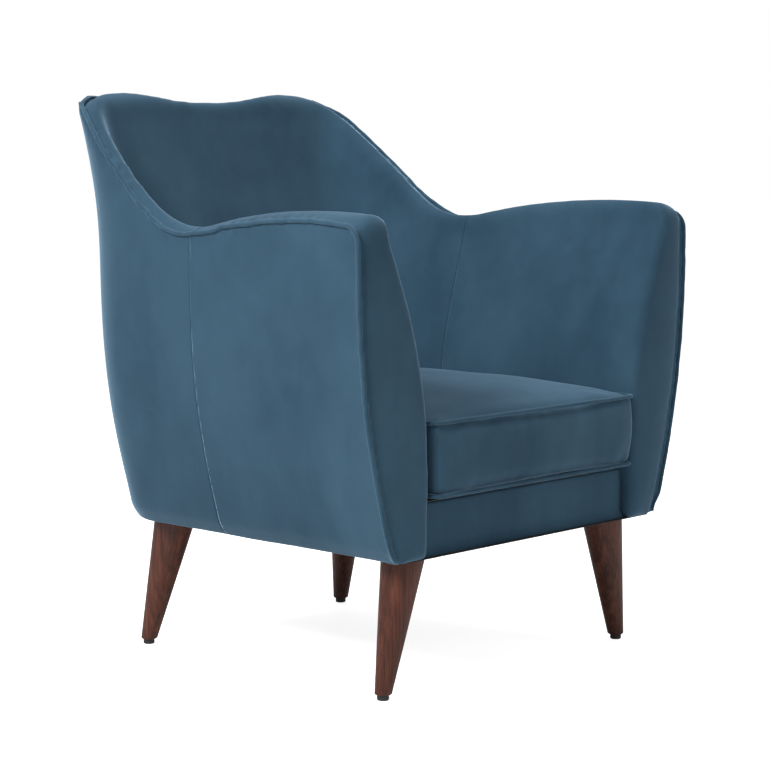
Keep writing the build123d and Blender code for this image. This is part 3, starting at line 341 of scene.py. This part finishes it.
def plain_timber(name):
    """Planed beech of the hidden frame."""
    finish = Finish(name)
    bands = finish.noise(finish.mapped((14, 14, 60)), 1, 4, 0.8)
    flecks = finish.noise(finish.mapped((300, 40, 300)), 1, 2)
    base = finish.ramp(bands, [(0.3, (0.42, 0.26, 0.13)), (0.7, (0.62, 0.43, 0.25))])
    dots = finish.ramp(flecks, [(0.3, (0.55, 0.45, 0.38)), (0.45, (1, 1, 1))])
    finish.link(finish.blend(0.6, base, dots, "MULTIPLY"), finish.shader.inputs["Base Color"])
    finish.link(finish.bump(flecks, 0.1, 0.0003), finish.shader.inputs["Normal"])
    finish.shader.inputs["Roughness"].default_value = 0.62
    return finish.material


def plated_steel(name):
    """Zinc-plated steel with fine draw marks."""
    finish = Finish(name)
    marks = finish.noise(finish.mapped((90, 600, 600)), 1, 3)
    finish.link(finish.ramp(marks, [(0.3, (0.4, 0.4, 0.41)), (0.7, (0.66, 0.66, 0.67))]),
                finish.shader.inputs["Base Color"])
    finish.link(finish.spread(marks, 0.28, 0.5), finish.shader.inputs["Roughness"])
    finish.shader.inputs["Metallic"].default_value = 1.0
    return finish.material


def moulded_plastic(name):
    """Dark moulded plastic, scuffed by the floor."""
    finish = Finish(name)
    scuffs = finish.noise(finish.mapped((240, 240, 240)), 1, 4, 0.5)
    finish.link(finish.ramp(scuffs, [(0.35, (0.012, 0.009, 0.008)), (0.75, (0.035, 0.028, 0.024))]),
                finish.shader.inputs["Base Color"])
    finish.link(finish.spread(scuffs, 0.42, 0.62), finish.shader.inputs["Roughness"])
    finish.link(finish.bump(scuffs, 0.15, 0.0002), finish.shader.inputs["Normal"])
    return finish.material


def woven(name, dark, light, pitch):
    """Plain woven cloth; pitch is the spacing of its threads."""
    finish = Finish(name)
    threads = []
    for direction in ("X", "Y"):
        wave = finish.add("ShaderNodeTexWave", wave_type="BANDS", bands_direction=direction)
        wave.inputs["Scale"].default_value = 0.31 / pitch
        wave.inputs["Distortion"].default_value = 0.6
        finish.link(finish.where, wave.inputs["Vector"])
        threads.append(wave.outputs["Color"])
    weave = finish.blend(0.5, *threads)
    finish.link(finish.ramp(weave, [(0.3, dark), (0.7, light)]), finish.shader.inputs["Base Color"])
    finish.link(finish.bump(weave, 0.3, 0.0003), finish.shader.inputs["Normal"])
    finish.shader.inputs["Roughness"].default_value = 0.88
    return finish.material


def foam(name):
    """Cream polyurethane foam with open pores."""
    finish = Finish(name)
    pores = finish.noise(finish.mapped((1, 1, 1)), 700, 3)
    finish.link(finish.ramp(pores, [(0.3, (0.55, 0.48, 0.33)), (0.6, (0.8, 0.75, 0.6))]),
                finish.shader.inputs["Base Color"])
    finish.link(finish.bump(pores, 0.4, 0.0005), finish.shader.inputs["Normal"])
    finish.shader.inputs["Roughness"].default_value = 0.95
    return finish.material


def studio_floor(name):
    """Pale studio floor that runs into the white background."""
    finish = Finish(name)
    clouds = finish.noise(finish.mapped((2, 2, 2)), 1, 3)
    finish.link(finish.ramp(clouds, [(0.3, (0.87, 0.87, 0.87)), (0.7, (0.9, 0.9, 0.9))]),
                finish.shader.inputs["Base Color"])
    finish.shader.inputs["Roughness"].default_value = 0.5
    finish.shader.inputs["Specular IOR Level"].default_value = 0.1
    seen = finish.add("ShaderNodeLightPath").outputs["Is Camera Ray"]
    finish.shader.inputs["Emission Color"].default_value = (1, 1, 1, 1)
    finish.link(finish.spread(seen, 0, FLOOR_GLOW), finish.shader.inputs["Emission Strength"])
    return finish.material


VELVET = velvet("blue_velvet", (0.015, 0.041, 0.069), (0.043, 0.094, 0.140))
PIPING = velvet("blue_velvet_piping", (0.018, 0.046, 0.075), (0.038, 0.086, 0.128), 3.0)


def dress(piece, body, finish):
    """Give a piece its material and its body."""
    piece.data.materials.clear()
    piece.data.materials.append(finish)
    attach(piece, body)


def shade_smooth(piece, angle=180):
    select_only(piece)
    bpy.ops.object.shade_smooth_by_angle(angle=math.radians(angle))


# ===== the padded shell =========================================================================
ARM_NODES = {
    side: [f"{side}_inside_arm_cover", f"{side}_outside_arm_cover", f"{side}_arm_foam"]
    for side in ("left", "right")
}
BACK_NODES = ["inside_back_cover", "outside_back_cover"]
BACK_NODES += ["back_foam", "left_wing_foam", "right_wing_foam"]
WELT_NODES = ["left_edge_welt", "right_edge_welt", "back_top_welt"]


def padded_shell():
    """The whole shell as one soft skin; where its points began, where they ended, and their normals."""
    shell = copy_of("shell", ARM_NODES["left"] + ARM_NODES["right"] + BACK_NODES + WELT_NODES)
    apply_modifier(shell, "REMESH", mode="VOXEL", voxel_size=SHELL_VOXEL, use_smooth_shade=True)
    apply_modifier(shell, "SMOOTH", factor=0.5, iterations=4)
    frame_points = points_of(shell)
    normals = normals_of(shell)
    piping = np.concatenate([points_of(frame["nodes"][node]) for node in WELT_NODES])
    from_welt = np.maximum(distances(frame_points, tree_of(piping)) - WELT_RADIUS / 2, 0)
    y, z = frame_points[:, 1], frame_points[:, 2]
    half = np.abs(frame_points[:, 0])
    top_line = piping[:, 2].max()

    # the crest along the arms and wings stands above the piping; along the back the piping drops
    on_top = smooth_step(normals[:, 2], 0.35, 0.75) * smooth_step(-from_welt, -0.07, -0.05)
    on_top = on_top * smooth_step(z, 0.58, 0.61)
    at_back = smooth_step(z, top_line - 0.045, top_line - 0.012) * smooth_step(y, 0.2, 0.27)
    rise = ARM_CREST_RISE * (1 - at_back) * on_top * (1 - np.exp(-from_welt / CREST_BLEND))
    near_back_welt = at_back * np.exp(-((from_welt / BACK_WELT_BLEND) ** 2))
    back_crest = at_back * smooth_step(from_welt, 0.002, 0.012) * smooth_step(normals[:, 2], 0, 0.6)
    rise += BACK_CREST_RISE * back_crest
    moved = frame_points.copy()
    moved[:, 2] += evened(shell, rise - BACK_WELT_DROP * near_back_welt, 12)

    # the velvet wraps under the foot of the shell
    at_foot = smooth_step(-z, -UNDERSIDE_Z - 0.012, -UNDERSIDE_Z - 0.003)
    at_front = smooth_step(-y, -ARM_FRONT_Y - 0.03, -ARM_FRONT_Y - 0.01)
    moved[:, 2] -= UNDERSIDE_WRAP * at_foot
    moved[:, 1] -= UNDERSIDE_WRAP * at_foot * at_front

    # the arm fronts swell out from the piping
    on_front = smooth_step(-normals[:, 1], 0.5, 0.9)
    on_front = on_front * smooth_step(-y, -ARM_FRONT_Y - 0.03, -ARM_FRONT_Y - 0.005)
    swell = ARM_FRONT_SWELL * on_front * (1 - np.exp(-from_welt / ARM_FRONT_BLEND))
    moved[:, 1] -= evened(shell, swell, 8)
    set_points(shell, moved)

    # inner edges and the underside are rounded by the padding; edges at the piping stay firmer
    from_corner = np.hypot(y - ARM_FRONT_Y, z - ARM_CORNER_Z)
    soft = smooth_step(from_welt, 0.006, 0.024)
    soft = soft * (0.25 + 0.75 * smooth_step(from_corner, 0.006, 0.03))
    soft = np.maximum(soft, WELT_EDGE_SOFTNESS)
    group = set_group(shell, "soft", soft)
    apply_modifier(shell, "SMOOTH", factor=0.5, iterations=PADDING_ROUNDS, vertex_group=group)
    from_horn = np.sqrt((half - HORN_TIP[0]) ** 2 + (y - HORN_TIP[1]) ** 2 + (z - HORN_TIP[2]) ** 2)
    group = set_group(shell, "horn", 1 - smooth_step(from_horn, 0.5 * HORN_REACH, HORN_REACH))
    apply_modifier(shell, "SMOOTH", factor=0.5, iterations=HORN_ROUNDS, vertex_group=group)

    # cloth: slow swells, and small pulls that run into the piping
    points, normals = points_of(shell), normals_of(shell)
    pulls = noise_of(points, (30, 30, 24), 3) * np.exp(-((from_welt - 0.014) / 0.016) ** 2)
    swells = noise_of(points, (6, 6, 5), 1) * smooth_step(from_welt, 0.01, 0.06)
    creases = noise_of(points, (16, 16, 9), 2) * smooth_step(from_welt, 0.01, 0.05)
    points += normals * (0.0005 * pulls + 0.0012 * swells + 0.0005 * creases)[:, None]
    groove = evened(shell, GROOVE_DEPTH * np.exp(-((from_welt / GROOVE_REACH) ** 2)), 4)
    set_points(shell, points - normals * groove[:, None])
    shell.vertex_groups.clear()
    return shell, frame_points, points, normals


def cut_seam(mesh):
    """A narrow sewn groove round the shell at the seam between the arms and the back."""
    for place in (SEAM_Y - SEAM_HALF_WIDTH, SEAM_Y, SEAM_Y + SEAM_HALF_WIDTH):
        parts = mesh.verts[:] + mesh.edges[:] + mesh.faces[:]
        bmesh.ops.bisect_plane(mesh, geom=parts, dist=1e-5, plane_co=(0, place, 0), plane_no=(0, 1, 0))
    mesh.normal_update()
    for vertex in mesh.verts:
        if abs(vertex.co.y - SEAM_Y) < SEAM_HALF_WIDTH / 3:
            vertex.co -= vertex.normal * SEAM_DEPTH


def part_of_shell(shell, name, cuts):
    """The share of the shell on the kept side of each cut, closed where it was cut."""
    mesh = bmesh.new()
    mesh.from_mesh(shell.data)
    for place, outward in cuts:
        parts = mesh.verts[:] + mesh.edges[:] + mesh.faces[:]
        bmesh.ops.bisect_plane(
            mesh, geom=parts, dist=1e-5, plane_co=place, plane_no=outward, clear_outer=True
        )
    rims = [edge for edge in mesh.edges if edge.is_boundary]
    caps = bmesh.ops.holes_fill(mesh, edges=rims, sides=0)["faces"]
    bmesh.ops.triangulate(mesh, faces=caps)
    return new_piece(name, mesh)


shell, shell_rest, shell_points, shell_normals = padded_shell()
grooved = bmesh.new()
grooved.from_mesh(shell.data)
cut_seam(grooved)
grooved.to_mesh(shell.data)
grooved.free()

for side, outward in (("left", -1), ("right", 1)):
    arm = part_of_shell(
        shell, f"{side}_arm_upholstery", [((0, SEAM_Y, 0), (0, 1, 0)), ((0, 0, 0), (outward, 0, 0))]
    )
    shade_smooth(arm)
    dress(arm, "chair", VELVET)
    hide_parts(*ARM_NODES[side])

back = part_of_shell(shell, "back_upholstery", [((0, SEAM_Y, 0), (0, -1, 0))])
shade_smooth(back)
dress(back, "chair", VELVET)
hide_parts(*BACK_NODES)
bpy.data.objects.remove(shell)

# ===== piping of the shell, which follows the skin it is sewn into ==============================
shell_tree = tree_of(shell_rest)


def sewn_piping(name, node):
    """The frame's piping laid on the padded skin, with the slight puckers of sewn velvet."""
    piece = copy_of(name, [node])
    apply_modifier(piece, "REMESH", mode="VOXEL", voxel_size=WELT_VOXEL, use_smooth_shade=True)
    apply_modifier(piece, "SMOOTH", factor=0.5, iterations=3)
    points = points_of(piece)
    cord_tree = tree_of(points)
    guides, shifts = [], []
    for start in points[::PIPING_STEP]:
        ring = [index for _, index, _ in cord_tree.find_range(start, 2 * WELT_RADIUS)]
        centre = points[ring].mean(0)
        beside = [index for _, index, _ in shell_tree.find_n(centre, PIPING_BESIDE)]
        outward = shell_normals[beside].mean(0)
        outward /= np.linalg.norm(outward)
        tuck = PIPING_TUCK * (1 - smooth_step(centre[2], UNDERSIDE_Z + 0.008, UNDERSIDE_Z + 0.030))
        shift = shell_points[beside].mean(0) + outward * (PIPING_STAND - tuck) - centre
        shift[2] += tuck
        guides.append(centre)
        shifts.append(shift)
    guide_tree = tree_of(guides)
    shifts = np.array(shifts)
    moves = []
    for point in points:
        found = guide_tree.find_n(point, PIPING_GUIDES)
        weights = np.array([math.exp(-((reach / PIPING_BLEND) ** 2)) for _, _, reach in found])
        near_shifts = shifts[[index for _, index, _ in found]]
        moves.append((near_shifts * weights[:, None]).sum(0) / weights.sum())
    set_points(piece, points + np.array(moves))
    points, normals = points_of(piece), normals_of(piece)
    puckers = noise_of(points, (120, 120, 120), 4)
    set_points(piece, points + normals * (0.0003 + 0.00015 * puckers)[:, None])
    shade_smooth(piece)
    return piece


for node in WELT_NODES:
    cord = sewn_piping(f"{node}_cover", node)
    dress(cord, "chair", PIPING)
    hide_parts(node)

# ===== front rail ===============================================================================
rail = copy_of("front_rail_upholstery", ["front_rail_cover", "front_rail_padding"])
apply_modifier(rail, "REMESH", mode="VOXEL", voxel_size=RAIL_VOXEL, use_smooth_shade=True)
apply_modifier(rail, "SMOOTH", factor=0.5, iterations=5)
rail_points = points_of(rail)
on_face = smooth_step(-normals_of(rail)[:, 1], 0.5, 0.9)
slow_swell = 0.0011 * noise_of(rail_points, (9, 5, 6), 5)
small_swell = 0.0005 * noise_of(rail_points, (34, 5, 12), 6)
rail_points[:, 1] += on_face * (slow_swell + small_swell)
at_ends = smooth_step(np.abs(rail_points[:, 0]), RAIL_HALF_WIDTH - 0.014, RAIL_HALF_WIDTH - 0.003)
rail_points[:, 0] += np.sign(rail_points[:, 0]) * RAIL_END_REACH * at_ends
rail_foot = smooth_step(-rail_points[:, 2], -UNDERSIDE_Z - 0.014, -UNDERSIDE_Z - 0.004)
rail_front = smooth_step(-rail_points[:, 1], -RAIL_FACE_Y - 0.004, -RAIL_FACE_Y - 0.002)
rail_points[:, 2] -= 2 * UNDERSIDE_WRAP * rail_foot
rail_points[:, 1] -= 2 * UNDERSIDE_WRAP * rail_foot * rail_front
set_points(rail, rail_points)
shade_smooth(rail)
dress(rail, "chair", VELVET)
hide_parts("front_rail_cover", "front_rail_padding")


# ===== loose seat cushion =======================================================================
def inflate(piece, pinned):
    """Blow the cover up against its pinned seams, as filling does."""
    cloth = piece.modifiers.new("cloth", "CLOTH")
    cloth.settings.use_pressure = True
    cloth.settings.uniform_pressure_force = FILLING_PRESSURE
    cloth.settings.quality = 5
    cloth.settings.effector_weights.gravity = 0
    cloth.settings.vertex_group_mass = pinned
    for step in range(1, FILLING_STEPS + 1):
        bpy.context.scene.frame_set(step)
    select_only(piece)
    bpy.ops.object.modifier_apply(modifier=cloth.name)
    bpy.context.scene.frame_set(1)


def seat_cushion():
    """The cushion's cover, swollen by its filling and pinched at its piping."""
    cushion = copy_of("seat_cushion_cover", ["cushion_core"])
    apply_modifier(cushion, "REMESH", mode="VOXEL", voxel_size=CUSHION_VOXEL, use_smooth_shade=True)
    start = points_of(cushion)
    welts = [points_of(frame["nodes"][f"cushion_{place}_welt"]) for place in ("top", "bottom")]
    piping_tree = tree_of(np.concatenate(welts))
    from_piping = distances(start, piping_tree)
    pinned = set_group(cushion, "seam", smooth_step(-from_piping, -0.007, -0.004))
    inflate(cushion, pinned)
    swollen = points_of(cushion)
    moves = swollen - start
    reach = np.linalg.norm(moves, axis=1)
    outward = normals_of(cushion)
    room = np.full(len(start), TOP_ROOM)
    beside_shell = (np.abs(outward[:, 0]) > 0.6) | (outward[:, 1] > 0.6) | (outward[:, 2] < -0.5)
    room[beside_shell] = SIDE_ROOM
    room[outward[:, 1] < -0.6] = FRONT_ROOM
    room = np.minimum(room, SIDE_ROOM + from_piping * 0.6)
    share = np.minimum(1, room / np.maximum(reach, 1e-6))
    set_points(cushion, start + moves * share[:, None])
    apply_modifier(cushion, "SMOOTH", factor=0.5, iterations=4)
    apply_modifier(cushion, "SUBSURF", levels=1, render_levels=1)

    # wrinkles: soft swells on top, upright folds on the border, puckers along the piping
    points, normals = points_of(cushion), normals_of(cushion)
    from_piping = distances(points, piping_tree)
    border = smooth_step(np.hypot(normals[:, 0], normals[:, 1]), 0.6, 0.9)
    folds = noise_of(points, (44, 44, 7), 7) * smooth_step(from_piping, 0.003, 0.02)
    wide_folds = noise_of(points, (17, 17, 5), 8)
    top_swell = noise_of(points, (9, 9, 9), 9) * smooth_step(from_piping, 0.01, 0.05)
    puckers = noise_of(points, (75, 75, 40), 10) * np.exp(-(((from_piping - 0.011) / 0.010) ** 2))
    relief = border * (0.0010 * folds + 0.0014 * wide_folds) + (1 - border) * 0.0022 * top_swell
    height = (points[:, 2] - SEAT_LOW_Z) / (SEAT_HIGH_Z - SEAT_LOW_Z)
    in_front = smooth_step(-normals[:, 1], 0.6, 0.9)
    relief += CUSHION_FRONT_SWELL * in_front * np.clip(4 * height * (1 - height), 0, 1)
    set_points(cushion, points + normals * (relief + 0.0006 * puckers)[:, None])
    cushion.vertex_groups.clear()
    return cushion


cushion = seat_cushion()
shade_smooth(cushion)
dress(cushion, "seat_cushion", VELVET)
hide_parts("cushion_core", "cushion_top_panel", "cushion_bottom_panel", "cushion_border")


# ===== frame nodes that keep their shape ========================================================
def leg_lean(node):
    """Angles that turn the grain along a leg, from where its foot stands outside its top."""
    low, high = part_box(node)
    side = 1 if low.x + high.x > 0 else -1
    foot_x = high.x if side > 0 else low.x
    run = (foot_x - (low.x + high.x) / 2) * 0.5
    return 0.0, -math.atan2(run, high.z - low.z), 0.0


LEG_NODES = [f"{end}_{side}_leg" for end in ("front", "back") for side in ("left", "right")]
FINISH_OF_SLOT = {
    "piping": PIPING,
    "timber": plain_timber("beech_frame"),
    "steel": plated_steel("plated_steel"),
    "glide_plastic": moulded_plastic("glide_plastic"),
    "webbing": woven("elastic_webbing", (0.03, 0.026, 0.02), (0.13, 0.115, 0.09), 0.002),
    "padding": foam("cushion_foam"),
    "lining": woven("black_lining", (0.010, 0.010, 0.011), (0.035, 0.035, 0.037), 0.0009),
    "zip_tape": woven("zip_tape", (0.012, 0.03, 0.05), (0.03, 0.07, 0.11), 0.0008),
    "velvet": VELVET,
}
slot_of_node = {part["node"]: part["material_slot"] for part in frame["record"]["subparts"]}
for node, piece in frame["nodes"].items():
    slot = slot_of_node[node]
    if slot == "leg_wood":
        finish = stained_wood(f"{node}_wood", leg_lean(node))
    else:
        finish = FINISH_OF_SLOT[slot]
    piece.data.materials.clear()
    piece.data.materials.append(finish)

# ===== floor, light and camera ==================================================================
bpy.ops.object.select_all(action="DESELECT")
bpy.ops.mesh.primitive_plane_add(size=40, location=(0, 0, 0))
floor = bpy.context.object
floor.name = "floor"
floor.data.materials.append(studio_floor("studio_floor"))


def soft_light(name, place, size, power, aim=(0, 0, 0.45)):
    """A square soft box aimed at a point."""
    lamp = bpy.data.lights.new(name, "AREA")
    lamp.shape = "SQUARE"
    lamp.size = size
    lamp.energy = power
    light = bpy.data.objects.new(name, lamp)
    light.location = place
    light.rotation_mode = "QUATERNION"
    light.rotation_quaternion = (Vector(aim) - Vector(place)).to_track_quat("-Z", "Y")
    bpy.context.scene.collection.objects.link(light)


soft_light("key_soft_box", (-2.7, -0.2, 2.6), 1.3, 130)
soft_light("fill_soft_box", (1.2, -3.4, 1.9), 2.4, 26)
soft_light("top_soft_box", (0.2, 0.5, 3.4), 2.4, 62)

world = bpy.data.worlds.new("studio")
world.use_nodes = True
background = world.node_tree.nodes["Background"]
background.inputs["Color"].default_value = (1, 1, 1, 1)
strength = world.node_tree.nodes.new("ShaderNodeMapRange")
strength.inputs["To Min"].default_value = AMBIENT
strength.inputs["To Max"].default_value = 1.0
light_path = world.node_tree.nodes.new("ShaderNodeLightPath")
world.node_tree.links.new(light_path.outputs["Is Camera Ray"], strength.inputs["Value"])
world.node_tree.links.new(strength.outputs["Result"], background.inputs["Strength"])
bpy.context.scene.world = world
bpy.context.scene.view_settings.view_transform = "Standard"

CAMERA_PLACE = Vector((-2.848, -2.5056, 0.7923))
CAMERA_HEADING = math.radians(49.266)
CAMERA_DIP = math.radians(5.945)
camera_data = bpy.data.cameras.new("camera")
camera_data.sensor_width = 36
camera_data.lens = 116.9
camera = bpy.data.objects.new("camera", camera_data)
camera.location = CAMERA_PLACE
ahead = Vector((
    math.sin(CAMERA_HEADING) * math.cos(CAMERA_DIP),
    math.cos(CAMERA_HEADING) * math.cos(CAMERA_DIP),
    -math.sin(CAMERA_DIP),
))
camera.rotation_mode = "QUATERNION"
camera.rotation_quaternion = ahead.to_track_quat("-Z", "Y")
bpy.context.scene.collection.objects.link(camera)
bpy.context.scene.camera = camera
